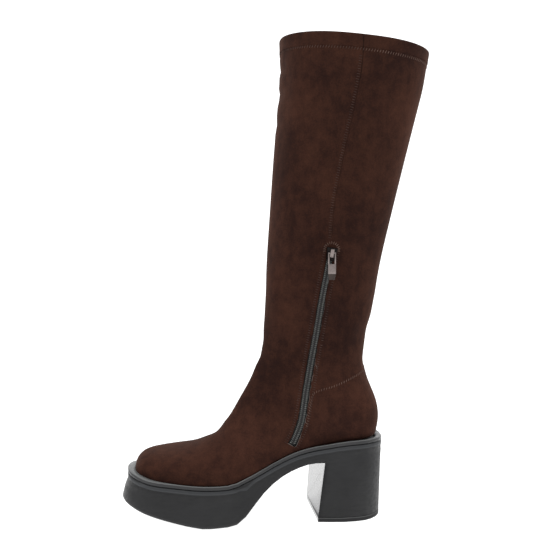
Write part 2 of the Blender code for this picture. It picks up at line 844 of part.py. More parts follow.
def build_slider(skin, collection, cutters, material):
    place, up, across, out = slider_frame(skin)
    shape = bmesh.new()
    middle = place + out * (SLIDER_LIFT + 0.5 * SLIDER_THICKNESS)
    verts = box_piece(shape, middle, up, across, out, (SLIDER_WIDTH, SLIDER_LENGTH, SLIDER_THICKNESS))
    for vert in verts:
        # The slider narrows towards its lower end
        if (vert.co - middle).dot(up) < 0.0:
            side = (vert.co - middle).dot(across)
            vert.co -= across * side * SLIDER_NARROWING
    bevel(shape, list(shape.edges), SLIDER_EDGE, 2)
    slider = object_from_shape("zip_slider", shape, material, collection)

    bridge_shape = bmesh.new()
    rise = SLIDER_LIFT + SLIDER_THICKNESS - 0.5 * SLIDER_EDGE + 0.5 * BRIDGE_HEIGHT
    centre = place + out * rise + up * (0.5 * (BRIDGE_ABOVE - BRIDGE_BELOW))
    size = (BRIDGE_WIDTH, BRIDGE_ABOVE + BRIDGE_BELOW, BRIDGE_HEIGHT)
    box_piece(bridge_shape, centre, up, across, out, size)
    bevel(bridge_shape, list(bridge_shape.edges), SLIDER_EDGE, 2)
    bridge = object_from_shape("slider_bridge", bridge_shape, None, cutters)
    boolean_join(slider, bridge, "UNION", "MANIFOLD")

    eye = eye_centre(skin)
    hole_shape = bmesh.new()
    rod(hole_shape, eye, PIN_RADIUS + 2.0 * GAP, 4.0 * BRIDGE_WIDTH, 16)
    hole = object_from_shape("slider_hole", hole_shape, None, cutters)
    boolean_join(slider, hole, "DIFFERENCE", "MANIFOLD")
    return slider


def bevel(shape, edges, offset, segments):
    bmesh.ops.bevel(shape, geom=edges, offset=offset, segments=segments, affect="EDGES", profile=0.5)


def rod(shape, centre, radius, length, segments):
    # Adds a level rod along X, the axis that the pull turns about
    made = bmesh.ops.create_cone(shape, cap_ends=True, segments=segments, radius1=radius,
                                 radius2=radius, depth=length)
    for vert in made["verts"]:
        local = vert.co.copy()
        vert.co = centre + Vector((local.z, -local.y, local.x))


def eye_centre(skin):
    place, up, across, out = slider_frame(skin)
    rise = SLIDER_LIFT + SLIDER_THICKNESS + 0.5 * BRIDGE_HEIGHT
    return place + out * rise + up * EYE_ABOVE


def build_pull(skin, collection, cutters, material):
    # The pull hangs straight down from a pin through the bridge
    eye = eye_centre(skin)
    down = Vector((0.0, 0.0, -1.0))
    across = Vector((1.0, 0.0, 0.0))
    out = Vector((0.0, -1.0, 0.0))
    shape = bmesh.new()
    plate = PULL_LENGTH - PRONG_LENGTH
    centre = eye + down * (PRONG_LENGTH + 0.5 * plate)
    box_piece(shape, centre, down, across, out, (PULL_WIDTH, plate, PULL_THICKNESS))
    bevel(shape, list(shape.edges), PULL_EDGE, 2)
    pull = object_from_shape("zip_pull", shape, material, collection)

    for name, side in (("prong_front", -1.0), ("prong_back", 1.0)):
        prong_shape = bmesh.new()
        place = eye + across * side * 0.5 * (PULL_WIDTH - PRONG_WIDTH) + down * (0.5 * PRONG_LENGTH)
        size = (PRONG_WIDTH, PRONG_LENGTH + PRONG_OVERLAP, PULL_THICKNESS)
        box_piece(prong_shape, place, down, across, out, size)
        bevel(prong_shape, list(prong_shape.edges), 0.8 * PULL_EDGE, 1)
        prong = object_from_shape(name, prong_shape, None, cutters)
        boolean_join(pull, prong, "UNION", "MANIFOLD")

    pin_shape = bmesh.new()
    rod(pin_shape, eye, PIN_RADIUS, PULL_WIDTH - 0.5 * PRONG_WIDTH, 12)
    pin = object_from_shape("pull_pin", pin_shape, None, cutters)
    boolean_join(pull, pin, "UNION", "MANIFOLD")

    window_shape = bmesh.new()
    middle = eye + down * (PRONG_LENGTH + PULL_WINDOW_BELOW + 0.5 * PULL_WINDOW_LENGTH)
    size = (PULL_WINDOW_WIDTH, PULL_WINDOW_LENGTH, 4.0 * PULL_THICKNESS)
    box_piece(window_shape, middle, down, across, out, size)
    upright = []
    for edge in window_shape.edges:
        run = edge.verts[0].co - edge.verts[1].co
        if abs(run.normalized().dot(out)) > 0.9:
            upright.append(edge)
    bevel(window_shape, upright, PULL_WINDOW_ROUND, 3)
    window = object_from_shape("pull_window", window_shape, None, cutters)
    boolean_join(pull, window, "DIFFERENCE", "MANIFOLD")
    return pull


def build_insole(collection):
    angles = station_angles()[::2]
    if angles[-1] != math.pi:
        angles.append(math.pi)

    def inset(x):
        return welt_width(x) + CURVED_GAP + WALL + INSOLE_INSET

    plan = rim_loop(angles, inset)
    base = GAP + 2.0 * CURVED_GAP + WALL
    loops = []
    for height in (base + INSOLE_THICKNESS, base):
        loops.append([Vector((p.x, p.y, ledge_height(p.x) + height)) for p in plan])
    mesh = loft("insole", loops)
    smooth(mesh, 40.0)
    material = make_material("insole", COLOURS["insole"], 0.85)
    return make_object("insole", mesh, material, collection)


def main():
    clear_scene()
    boot = make_collection("knee_high_boot")
    cutters = make_collection("cutters")
    build_sole(boot)
    build_top_piece(boot)
    build_welt(boot)
    upper, skin = build_upper(boot, cutters)
    build_insole(boot)
    build_zip_strips(skin, boot)
    metal = make_material("metal", COLOURS["metal"], 0.3, 1.0)
    build_slider(skin, boot, cutters, metal)
    build_pull(skin, boot, cutters, metal.copy())


main()
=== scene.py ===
# Right knee-high boot: faux suede upper with seams and stitches, inner zip, moulded platform sole.
# Metres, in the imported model's frame: toe along -X, medial side towards -Y, +Z up.
import math

import bmesh
import bpy
from mathutils import Matrix, Vector
from mathutils.bvhtree import BVHTree
from mathutils.kdtree import KDTree


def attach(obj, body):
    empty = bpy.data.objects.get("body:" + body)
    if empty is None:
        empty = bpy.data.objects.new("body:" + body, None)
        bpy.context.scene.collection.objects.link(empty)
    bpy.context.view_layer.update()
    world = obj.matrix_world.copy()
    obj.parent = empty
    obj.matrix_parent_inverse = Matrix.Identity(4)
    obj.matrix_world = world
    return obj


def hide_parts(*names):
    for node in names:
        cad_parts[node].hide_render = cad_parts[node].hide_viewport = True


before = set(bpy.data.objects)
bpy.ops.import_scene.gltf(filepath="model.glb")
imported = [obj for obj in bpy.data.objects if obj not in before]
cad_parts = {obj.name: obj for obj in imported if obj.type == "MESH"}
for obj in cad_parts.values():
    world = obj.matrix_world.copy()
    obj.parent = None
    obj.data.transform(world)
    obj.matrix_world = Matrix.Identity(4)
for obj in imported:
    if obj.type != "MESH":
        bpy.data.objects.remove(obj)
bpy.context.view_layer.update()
mm = 0.001
print("frame loaded")


# Camera at the photograph's angle
photoCamera = {
    "place": (-0.160, -0.7825, 0.2744),
    "pitch": 3.02,   # degrees below level
    "turn": -6.5,    # degrees towards the heel
    "lens": 53.38,
    "sensor": 36.0,
}


def buildCamera(look):
    data = bpy.data.cameras.new("photoCamera")
    data.lens = look["lens"]
    data.sensor_width = look["sensor"]
    camera = bpy.data.objects.new("photoCamera", data)
    camera.location = look["place"]
    camera.rotation_euler = (math.radians(90.0 - look["pitch"]), 0.0, math.radians(look["turn"]))
    bpy.context.scene.collection.objects.link(camera)
    bpy.context.scene.camera = camera


buildCamera(photoCamera)


# Node helpers, used by every material below
def newMaterial(name, roughness, metallic=0.0):
    material = bpy.data.materials.new(name)
    material.use_nodes = True
    tree = material.node_tree
    shader = tree.nodes["Principled BSDF"]
    shader.inputs["Roughness"].default_value = roughness
    shader.inputs["Metallic"].default_value = metallic
    return material, tree, shader


def addNode(tree, kind, values=None, **settings):
    node = tree.nodes.new(kind)
    for name, value in settings.items():
        setattr(node, name, value)
    for name, value in (values or {}).items():
        node.inputs[name].default_value = value
    return node


def objectSpace(tree, scale=(1.0, 1.0, 1.0), turn=(0.0, 0.0, 0.0)):
    place = addNode(tree, "ShaderNodeTexCoord")
    mapping = addNode(tree, "ShaderNodeMapping", {"Scale": scale, "Rotation": turn})
    tree.links.new(place.outputs["Object"], mapping.inputs["Vector"])
    return mapping.outputs["Vector"]


def noise(tree, space, scale, detail=2.0, rough=0.5):
    node = addNode(tree, "ShaderNodeTexNoise", {"Scale": scale, "Detail": detail, "Roughness": rough})
    tree.links.new(space, node.inputs["Vector"])
    return node.outputs["Fac"]


def spread(tree, value, low, high, out=(0.0, 1.0)):
    node = addNode(tree, "ShaderNodeMapRange", {"From Min": low, "From Max": high,
                                                "To Min": out[0], "To Max": out[1]})
    tree.links.new(value, node.inputs["Value"])
    return node.outputs["Result"]


def calc(tree, operation, first, second=None):
    node = addNode(tree, "ShaderNodeMath", operation=operation)
    for socket, value in zip(node.inputs, (first, second)):
        if value is None:
            continue
        if isinstance(value, (int, float)):
            socket.default_value = value
        else:
            tree.links.new(value, socket)
    return node.outputs[0]


def blendColours(tree, share, first, second):
    node = addNode(tree, "ShaderNodeMix", data_type="RGBA")
    tree.links.new(share, node.inputs["Factor"])
    for socket, value in ((node.inputs[6], first), (node.inputs[7], second)):
        if isinstance(value, tuple):
            socket.default_value = (*value, 1.0)
        else:
            tree.links.new(value, socket)
    return node.outputs[2]


def attribute(tree, name):
    return addNode(tree, "ShaderNodeAttribute", attribute_name=name).outputs["Fac"]


def bump(tree, shader, height, strength, distance):
    node = addNode(tree, "ShaderNodeBump", {"Strength": strength, "Distance": distance})
    tree.links.new(height, node.inputs["Height"])
    tree.links.new(node.outputs["Normal"], shader.inputs["Normal"])


# Mesh helpers
meshing = {
    "mergeGap": 0.02 * mm,
    "quadFace": 25.0,        # degrees between two triangles that may form a quad
    "quadShape": 50.0,
    "cageRounds": 3,
    "cageStep": 0.85,        # share of the gap closed in each round
    "hardEdge": 60.0,        # degrees from which an edge keeps a crease
    "spanSteps": 24,
}


def copyOfNode(nodeName, quads=True):
    shape = bmesh.new()
    shape.from_mesh(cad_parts[nodeName].data)
    bmesh.ops.remove_doubles(shape, verts=shape.verts, dist=meshing["mergeGap"])
    if not quads:
        return shape
    bmesh.ops.join_triangles(shape, faces=shape.faces, cmp_seam=False, cmp_sharp=False, cmp_uvs=False,
                             cmp_vcols=False, cmp_materials=False,
                             angle_face_threshold=math.radians(meshing["quadFace"]),
                             angle_shape_threshold=math.radians(meshing["quadShape"]))
    return shape


def creaseEdges(shape, degrees, amount):
    layer = shape.edges.layers.float.get("crease_edge") or shape.edges.layers.float.new("crease_edge")
    for edge in shape.edges:
        if edge.is_manifold and edge.calc_face_angle() > math.radians(degrees):
            edge[layer] = amount


def meshOf(name, shape):
    mesh = bpy.data.meshes.new(name)
    shape.to_mesh(mesh)
    shape.free()
    return mesh


def subdivided(name, shape, levels):
    # the cage moves out in a few rounds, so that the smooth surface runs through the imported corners
    wanted = [vert.co.copy() for vert in shape.verts]
    mesh = meshOf(name, shape)
    cage = bpy.data.objects.new(name + "Cage", mesh)
    bpy.context.scene.collection.objects.link(cage)
    divide = cage.modifiers.new("subdivide", "SUBSURF")
    divide.levels = 1
    divide.render_levels = 1
    for _ in range(meshing["cageRounds"]):
        bpy.context.view_layer.update()
        smooth = cage.evaluated_get(bpy.context.evaluated_depsgraph_get()).data
        gaps = [aim - smooth.vertices[i].co for i, aim in enumerate(wanted)]
        for vert, gap in zip(mesh.vertices, gaps):
            vert.co += gap * meshing["cageStep"]
        mesh.update()
        cage.update_tag()
    divide.levels = levels
    divide.render_levels = levels
    bpy.context.view_layer.update()
    smooth = cage.evaluated_get(bpy.context.evaluated_depsgraph_get())
    finished = bpy.data.meshes.new_from_object(smooth)
    bpy.data.objects.remove(cage, do_unlink=True)
    result = bmesh.new()
    result.from_mesh(finished)
    bpy.data.meshes.remove(mesh)
    bpy.data.meshes.remove(finished)
    return result


def finishPiece(name, shape, materials, body, replaced=(), sharp=None):
    mesh = meshOf(name, shape)
    piece = bpy.data.objects.new(name, mesh)
    bpy.context.scene.collection.objects.link(piece)
    for material in materials:
        mesh.materials.append(material)
    mesh.shade_smooth()
    if sharp is not None:
        mesh.set_sharp_from_angle(angle=math.radians(sharp))
    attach(piece, body)
    if replaced:
        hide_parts(*replaced)


# A smooth hump, 1 at zero
def swell(t):
    return math.exp(-t * t)


# A smooth line through given points, cut into equal steps
def smoothLine(keys, step):
    keys = [Vector(key) for key in keys]
    dense = []
    for i in range(len(keys) - 1):
        before = keys[max(i - 1, 0)]
        after = keys[min(i + 2, len(keys) - 1)]
        for k in range(meshing["spanSteps"]):
            t = k / meshing["spanSteps"]
            a, b = keys[i], keys[i + 1]
            dense.append(0.5 * (2.0 * a + (b - before) * t
                                + (2.0 * before - 5.0 * a + 4.0 * b - after) * t * t
                                + (3.0 * a - before - 3.0 * b + after) * t * t * t))
    dense.append(keys[-1])
    total = sum((b - a).length for a, b in zip(dense, dense[1:]))
    count = max(int(round(total / step)), 1)
    line = [dense[0].copy()]
    due = total / count
    gone = 0.0
    for a, b in zip(dense, dense[1:]):
        length = (b - a).length
        while length > 0.0 and gone + length >= due * len(line) and len(line) < count:
            line.append(a.lerp(b, (due * len(line) - gone) / length))
        gone += length
    line.append(dense[-1].copy())
    return line


# Upper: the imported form, subdivided, with soft creases pressed in
upperLook = {
    "levels": 2,
    "edgeCrease": 0.25,
    "edgeAngle": 42.0,
    "hemInside": 13.3 * mm,  # how far the suede is folded in at the collar
    "hemInsideLean": 0.0167, # the inner rows of faces lie deeper towards the front
    "creaseReach": 4.0,      # half widths
    "creaseEnds": 0.5,       # share of its length that a crease runs on past both ends
    "lipShare": 0.30,        # low ridges along a crease: share of its depth, place and half width
    "lipAt": 2.0,
    "lipWidth": 0.8,
    "seamStep": 4.0 * mm,
    "seamReach": 6.0 * mm,
    "seamEnds": 0.2,         # share of a step that counts on past both its ends
    "seamSink": 0.30 * mm,
    "seamWidth": 1.6 * mm,
    "seamFull": 0.36,        # the seam shows in full above this height
    "seamFade": 0.06,
    "seamLeast": 0.45,
    "liningAxis": (          # middle of the inside: x, y and height
        (-0.170, 0.001, 0.052),
        (-0.120, 0.002, 0.058),
        (-0.080, 0.001, 0.078),
        (-0.048, -0.001, 0.112),
        (-0.034, -0.002, 0.170),
        (-0.028, -0.003, 0.230),
        (-0.012, -0.003, 0.320),
        (0.004, -0.003, 0.460),
    ),
}

# Soft creases: from and to on the skin, half width and depth in mm, below zero for a ridge
creases = (
    # across the instep, where the foot bends
    ((-0.128, -0.024, 0.080), (-0.126, 0.026, 0.080), 7.0, 0.55),
    ((-0.118, -0.030, 0.079), (-0.113, 0.032, 0.083), 6.0, -0.40),
    ((-0.107, -0.030, 0.086), (-0.104, 0.030, 0.088), 6.5, 0.50),
    # front of the ankle
    ((-0.086, -0.016, 0.146), (-0.078, -0.034, 0.124), 7.0, 0.80),
    ((-0.086, 0.010, 0.150), (-0.074, 0.030, 0.130), 7.0, 0.80),
    ((-0.083, -0.020, 0.166), (-0.066, -0.037, 0.150), 6.5, 0.60),
    ((-0.084, 0.008, 0.170), (-0.062, 0.030, 0.156), 6.5, 0.60),
    # back of the ankle, over the heel
    ((0.017, -0.012, 0.150), (0.016, 0.014, 0.152), 6.0, 0.70),
    ((0.012, -0.020, 0.166), (0.014, 0.012, 0.170), 7.0, -0.55),
    ((0.008, -0.024, 0.182), (0.016, 0.010, 0.188), 6.5, 0.65),
    ((0.004, -0.028, 0.204), (0.018, 0.006, 0.214), 8.0, 0.45),
    # gathers at the front, under the collar
    ((-0.064, -0.014, 0.4285), (-0.060, 0.026, 0.4300), 3.6, 1.10),
    ((-0.065, -0.010, 0.4400), (-0.060, 0.026, 0.4400), 5.0, -0.30),
    ((-0.066, -0.010, 0.4160), (-0.062, 0.026, 0.4170), 6.5, -0.55),
    ((-0.066, -0.012, 0.4035), (-0.062, 0.026, 0.4050), 3.8, 1.00),
    ((-0.068, -0.010, 0.3900), (-0.064, 0.026, 0.3910), 7.0, -0.40),
    ((-0.069, -0.012, 0.3780), (-0.065, 0.024, 0.3790), 4.5, 0.60),
    # long soft waves of the shaft
    ((-0.070, -0.022, 0.420), (-0.078, -0.018, 0.250), 12.0, 0.70),
    ((-0.040, -0.052, 0.425), (-0.052, -0.042, 0.290), 13.0, 0.60),
    ((0.034, -0.046, 0.420), (0.006, -0.036, 0.250), 13.0, 0.70),
    ((-0.052, 0.046, 0.420), (-0.056, 0.030, 0.250), 13.0, 0.70),
    ((0.030, 0.044, 0.420), (0.004, 0.032, 0.250), 13.0, 0.60),
    ((-0.066, -0.030, 0.232), (-0.058, -0.036, 0.190), 9.0, 0.55),
    # beside the zip's lower end
    ((-0.060, -0.036, 0.104), (-0.068, -0.040, 0.086), 5.0, 0.45),
    ((-0.036, -0.033, 0.112), (-0.026, -0.036, 0.100), 6.0, 0.40),
)


# From a place to the nearest point of the middle line inside the boot
def towardsInside(point):
    axis = [Vector(p) for p in upperLook["liningAxis"]]
    best = None
    for a, b in zip(axis, axis[1:]):
        run = b - a
        share = min(max((point - a).dot(run) / run.length_squared, 0.0), 1.0)
        near = a + run * share
        if best is None or (near - point).length < (best - point).length:
            best = near
    return best - point


def pressCreases(shape):
    shape.normal_update()
    moves = []
    lines = [(Vector(a), Vector(b) - Vector(a), width * mm, depth * mm)
             for a, b, width, depth in creases]
    for vert in shape.verts:
        outward = vert.normal if vert.normal.dot(towardsInside(vert.co)) < 0.0 else -vert.normal
        total = 0.0
        for start, run, width, depth in lines:
            share = (vert.co - start).dot(run) / run.length_squared
            if share < -upperLook["creaseEnds"] or share > 1.0 + upperLook["creaseEnds"]:
                continue
            held = min(max(share, 0.0), 1.0)
            near = start + run * held
            gap = (vert.co - near).length
            if gap > upperLook["creaseReach"] * width:
                continue
            t = gap / width
            # a trough with a low ridge along both sides
            lip = swell((t - upperLook["lipAt"]) / upperLook["lipWidth"])
            total -= depth * (swell(t) - upperLook["lipShare"] * lip)
        moves.append(outward * total)
    for vert, move in zip(shape.verts, moves):
        vert.co += move


def splitLining(shape):
    rim = rimPlane(0.0)
    for face in shape.faces:
        middle = face.calc_center_median()
        inner = face.normal.dot(towardsInside(middle)) > 0.0
        reach = upperLook["hemInside"] - upperLook["hemInsideLean"] * middle.x
        folded = middle.z > rim(middle.x) - reach
        face.material_index = 1 if inner and not folded else 0


# The collar's rim lies in one sloping plane
collar = {
    "front": (-0.0657, 0.4566),
    "back": (0.0766, 0.4437),
    "middle": (0.0055, -0.0020),
    "outside": 0.2,          # from the middle, a place outside the shaft
    "ringPoints": 72,
}


def rimPlane(drop):
    x0, z0 = collar["front"]
    x1, z1 = collar["back"]
    return lambda x: z0 + (z1 - z0) * (x - x0) / (x1 - x0) - drop


# Seams and stitch lines, as places in side view (x, height) or in back view (y, height)
castFrom = 0.3   # well outside the boot
seamLines = {
    "side": ((0.0017, 0.4500), (0.0017, 0.4315), (-0.0022, 0.4017), (-0.0129, 0.3485),
             (-0.0204, 0.3071), (-0.0228, 0.2835), (-0.0234, 0.2690)),
    "zip": ((-0.0602, 0.0704), (-0.0581, 0.0735), (-0.0517, 0.0875), (-0.0477, 0.1030),
            (-0.0407, 0.1500), (-0.0327, 0.2050), (-0.0232, 0.2607)),
    "counter": ((-0.0440, 0.0915), (-0.0424, 0.1020), (-0.0402, 0.1140), (-0.0378, 0.1212),
                (-0.0330, 0.1250), (-0.0180, 0.1299), (-0.0035, 0.1361), (0.0060, 0.1394),
                (0.0120, 0.1415)),
    "counterBack": ((-0.012, 0.1432), (0.0, 0.1440), (0.012, 0.1432)),
    "counterLateral": ((0.0120, 0.1415), (0.0060, 0.1394), (-0.0035, 0.1361), (-0.0180, 0.1299),
                       (-0.0320, 0.1215), (-0.0425, 0.1080), (-0.0485, 0.0930), (-0.0510, 0.0800)),
    "back": ((0.0, 0.4400), (0.0, 0.3400), (0.0, 0.2400), (0.0, 0.1700), (0.0, 0.1300),
             (0.0, 0.0960), (0.0, 0.0800)),
}


def buildSkin(shape):
    corners = [v.co[:] for v in shape.verts]
    faces = []
    for face in shape.faces:
        if face.normal.dot(towardsInside(face.calc_center_median())) <= 0.0:
            faces.append([v.index for v in face.verts])
    return BVHTree.FromPolygons(corners, faces)


def fromSide(places, side=-1.0):
    # places in side view, cast on to the medial skin (-1) or the lateral one (+1)
    hits = []
    for x, height in places:
        hit = skin.ray_cast(Vector((x, castFrom * side, height)), Vector((0.0, -side, 0.0)))[0]
        if hit is not None:
            hits.append(hit)
    return hits


def fromBack(places):
    hits = []
    for y, height in places:
        hit = skin.ray_cast(Vector((castFrom, y, height)), Vector((-1.0, 0.0, 0.0)))[0]
        if hit is not None:
            hits.append(hit)
    return hits


def settle(points):
    # every point moved to the nearest place on the skin, with the skin's normal
    return [skin.find_nearest(point)[:2] for point in points]


def offsetLine(places, shift):
    # a line beside another one in side view: above zero, towards the heel where the line runs up
    moved = []
    for i, (x, z) in enumerate(places):
        x0, z0 = places[max(i - 1, 0)]
        x1, z1 = places[min(i + 1, len(places) - 1)]
        run = Vector((x1 - x0, z1 - z0)).normalized()
        moved.append((x + run.y * shift, z - run.x * shift))
    return moved


def markSeams(shape, lines, reach):
    # signed distance to the nearest seam in mm, and a mask that fades away from it
    side = shape.verts.layers.float.new("seamSide")
    near = shape.verts.layers.float.new("seamNear")
    shape.normal_update()
    for vert in shape.verts:
        best = (1.0, 0.0)
        for line in lines:
            for a, b in zip(line, line[1:]):
                run = b - a
                share = (vert.co - a).dot(run) / run.length_squared
                if share < -upperLook["seamEnds"] or share > 1.0 + upperLook["seamEnds"]:
                    continue
                away = vert.co - (a + run * min(max(share, 0.0), 1.0))
                if away.length < best[0]:
                    sign = 1.0 if away.dot(vert.normal.cross(run)) > 0.0 else -1.0
                    best = (away.length, sign)
        gap = best[0]
        vert[side] = best[1] * min(gap, reach) / mm if best[1] else reach / mm
        above = (vert.co.z - upperLook["seamFull"]) / upperLook["seamFade"]
        strength = min(max(above, upperLook["seamLeast"]), 1.0)
        vert[near] = max(0.0, 1.0 - gap / reach) * strength
        if gap < reach:
            vert.co -= vert.normal * upperLook["seamSink"] * swell(gap / upperLook["seamWidth"])


# Where the nap is lighter, from wear and from painted light on the toe top, instep, heel and back of
# the shaft that face the lamps: middle and reach in metres, and how much
wornAndLitPlaces = (
    ((0.060, -0.010, 0.330), (0.026, 0.060, 0.100), 0.50),   # back edge of the shaft
    ((0.030, -0.010, 0.200), (0.022, 0.050, 0.060), 0.30),
    ((0.006, -0.010, 0.102), (0.044, 0.055, 0.042), 0.62),   # heel counter
    ((-0.172, -0.004, 0.088), (0.034, 0.030, 0.014), 0.60),  # top of the toe
    ((-0.176, -0.030, 0.066), (0.030, 0.020, 0.016), 0.25),
    ((-0.100, -0.020, 0.085), (0.030, 0.030, 0.020), 0.30),
    ((-0.095, -0.040, 0.060), (0.055, 0.024, 0.022), 0.25),
)


# Lighter nap per vertex: wear, and painted light where the boot faces the lamps
def markWornAndLit(shape):
    layer = shape.verts.layers.float.new("wornAndLit")
    for vert in shape.verts:
        total = 0.0
        for middle, reach, amount in wornAndLitPlaces:
            away = vert.co - Vector(middle)
            total += amount * swell(Vector([a / r for a, r in zip(away, reach)]).length)
        vert[layer] = min(total, 1.0)


suedeLook = {
    "dark": (0.0105, 0.0046, 0.0040),
    "base": (0.0200, 0.0080, 0.0056),
    "light": (0.0370, 0.0145, 0.0090),
    # lighter nap: wear, and painted light
    "wornAndLitNap": (0.0640, 0.0255, 0.0165),
    "blotch": 15.0,
    "mottle": 110.0,
    "streak": 160.0,
    "grain": 750.0,
    "fibre": 2400.0,
    "shares": {"blotch": 0.38, "streak": 0.14, "mottle": 0.26, "grain": 0.22},
    "brushed": 0.28,         # upright stretch of the streaks
    # near black: painted shade in the seam troughs
    "valley": (0.006, 0.003, 0.002),
    "roughness": 0.92,
    "specular": 0.05,
    "sheen": 0.11,
    "sheenRoughness": 0.42,
    "sheenTint": (0.60, 0.33, 0.25),
    "relief": 0.25 * mm,
}


def suedeMaterial(look):
    shares = look["shares"]
    material, tree, shader = newMaterial("fauxSuede", look["roughness"])
    space = objectSpace(tree)
    brushed = objectSpace(tree, scale=(1.0, 1.0, look["brushed"]))
    blotch = spread(tree, noise(tree, space, look["blotch"], 3.0, 0.55), 0.34, 0.66)
    mottle = spread(tree, noise(tree, space, look["mottle"], 4.0, 0.6), 0.34, 0.66)
    streak = spread(tree, noise(tree, brushed, look["streak"], 3.0, 0.6), 0.33, 0.67)
    grain = noise(tree, space, look["grain"], 3.0, 0.65)
    fibre = noise(tree, space, look["fibre"], 2.0, 0.6)
    tone = calc(tree, "ADD", calc(tree, "MULTIPLY", blotch, shares["blotch"]),
                calc(tree, "MULTIPLY", streak, shares["streak"]))
    tone = calc(tree, "ADD", tone, calc(tree, "MULTIPLY", mottle, shares["mottle"]))
    speck = spread(tree, grain, 0.35, 0.65)
    tone = calc(tree, "ADD", tone, calc(tree, "MULTIPLY", speck, shares["grain"]))
    deep = blendColours(tree, spread(tree, tone, 0.15, 0.50), look["dark"], look["base"])
    colour = blendColours(tree, spread(tree, tone, 0.45, 0.90), deep, look["light"])
    # lighter nap where worn, and painted light on the faces turned to the lamps
    wornAndLit = calc(tree, "MULTIPLY", attribute(tree, "wornAndLit"),
                  spread(tree, tone, 0.25, 0.80, (0.35, 1.0)))
    colour = blendColours(tree, wornAndLit, colour, look["wornAndLitNap"])
    # the seam troughs are darkened nearly to black: painted shade; the same mask also lowers the bump
    line = calc(tree, "ABSOLUTE", attribute(tree, "seamSide"))
    valley = calc(tree, "MULTIPLY", spread(tree, line, 0.25, 0.75, (1.0, 0.0)),
                  attribute(tree, "seamNear"))
    shade = blendColours(tree, calc(tree, "MULTIPLY", valley, 0.75), colour, look["valley"])
    tree.links.new(shade, shader.inputs["Base Color"])
    shader.inputs["Specular IOR Level"].default_value = look["specular"]
    shader.inputs["Sheen Weight"].default_value = look["sheen"]
    shader.inputs["Sheen Roughness"].default_value = look["sheenRoughness"]
    shader.inputs["Sheen Tint"].default_value = (*look["sheenTint"], 1.0)
    height = calc(tree, "ADD", calc(tree, "MULTIPLY", grain, 0.6), calc(tree, "MULTIPLY", fibre, 0.4))
    height = calc(tree, "SUBTRACT", height, calc(tree, "MULTIPLY", valley, 1.5))
    bump(tree, shader, height, 0.55, look["relief"])
    return material


liningLook = {"base": (0.052, 0.040, 0.034), "light": (0.085, 0.067, 0.058), "knit": 950.0}


def liningMaterial(look):
    material, tree, shader = newMaterial("knitLining", 0.9)
    space = objectSpace(tree)
    rows = addNode(tree, "ShaderNodeTexWave",
                   {"Scale": look["knit"] / 3.0, "Distortion": 1.2, "Detail": 1.0}, bands_direction="Z")
    tree.links.new(space, rows.inputs["Vector"])
    loops = noise(tree, space, look["knit"], 2.0, 0.6)
    weave = calc(tree, "MULTIPLY", rows.outputs["Fac"], loops)
    colour = blendColours(tree, spread(tree, weave, 0.1, 0.6), look["base"], look["light"])
    tree.links.new(colour, shader.inputs["Base Color"])
    shader.inputs["Sheen Weight"].default_value = 0.2
    bump(tree, shader, weave, 0.4, 0.3 * mm)
    return material


suede = suedeMaterial(suedeLook)
lining = liningMaterial(liningLook)
upperShape = copyOfNode("upper")
creaseEdges(upperShape, upperLook["edgeAngle"], upperLook["edgeCrease"])
upperShape = subdivided("upper", upperShape, upperLook["levels"])
pressCreases(upperShape)
upperShape.verts.index_update()
skin = buildSkin(upperShape)
sideSeam = smoothLine(fromSide(seamLines["side"]), upperLook["seamStep"])
backSeam = smoothLine(fromBack(seamLines["back"]), upperLook["seamStep"])
markSeams(upperShape, (sideSeam, backSeam), upperLook["seamReach"])
markWornAndLit(upperShape)
splitLining(upperShape)
finishPiece("suedeUpper", upperShape, (suede, lining), "boot", ("upper",))
print("upper done")


# Stitches: small threads laid along, across or aslant each line, joined into one mesh a line
threadLook = {
    "bright": ((0.060, 0.033, 0.025), (0.150, 0.095, 0.075)),
    "soft": ((0.034, 0.018, 0.014), (0.085, 0.052, 0.042)),
    "faint": ((0.024, 0.012, 0.010), (0.058, 0.034, 0.028)),
    "softUpTo": 0.004,       # the hem's thread is darker in front of this place
    "twist": 2600.0,
    "raised": 0.12 * mm,
    "flatness": 0.8,
}


def threadMaterial(name, tone, look):
    material, tree, shader = newMaterial(name, 0.6)
    space = objectSpace(tree, turn=(0.5, 0.6, 0.3))
    twist = noise(tree, space, look["twist"], 2.0, 0.5)
    wear = spread(tree, noise(tree, space, 60.0, 2.0, 0.5), 0.35, 0.65)
    share = calc(tree, "ADD", calc(tree, "MULTIPLY", twist, 0.5), calc(tree, "MULTIPLY", wear, 0.5))
    tree.links.new(blendColours(tree, share, *look[tone]), shader.inputs["Base Color"])
    shader.inputs["Specular IOR Level"].default_value = 0.2
    bump(tree, shader, twist, 0.5, 0.08 * mm)
    return material


def addThread(shape, middle, along, normal, length, radius):
    across = normal.cross(along).normalized()
    matrix = Matrix.Translation(middle)
    turn = Matrix((across, normal, along)).transposed().to_4x4()
    size = Matrix.Diagonal((radius, radius * threadLook["flatness"], 0.5 * length, 1.0))
    bmesh.ops.create_uvsphere(shape, u_segments=6, v_segments=5, radius=1.0,
                              matrix=matrix @ turn @ size)


def stitchLine(shape, line, length, radius, slant):
    # slant: degrees from the line, so 90 lays each stitch across it
    placed = settle(line)
    for i, (point, normal) in enumerate(placed):
        ahead = placed[min(i + 1, len(placed) - 1)][0]
        behind = placed[max(i - 1, 0)][0]
        along = ahead - behind
        along = (along - normal * along.dot(normal)).normalized()
        along = Matrix.Rotation(math.radians(slant), 3, normal) @ along
        addThread(shape, point + normal * threadLook["raised"], along, normal, length, radius)


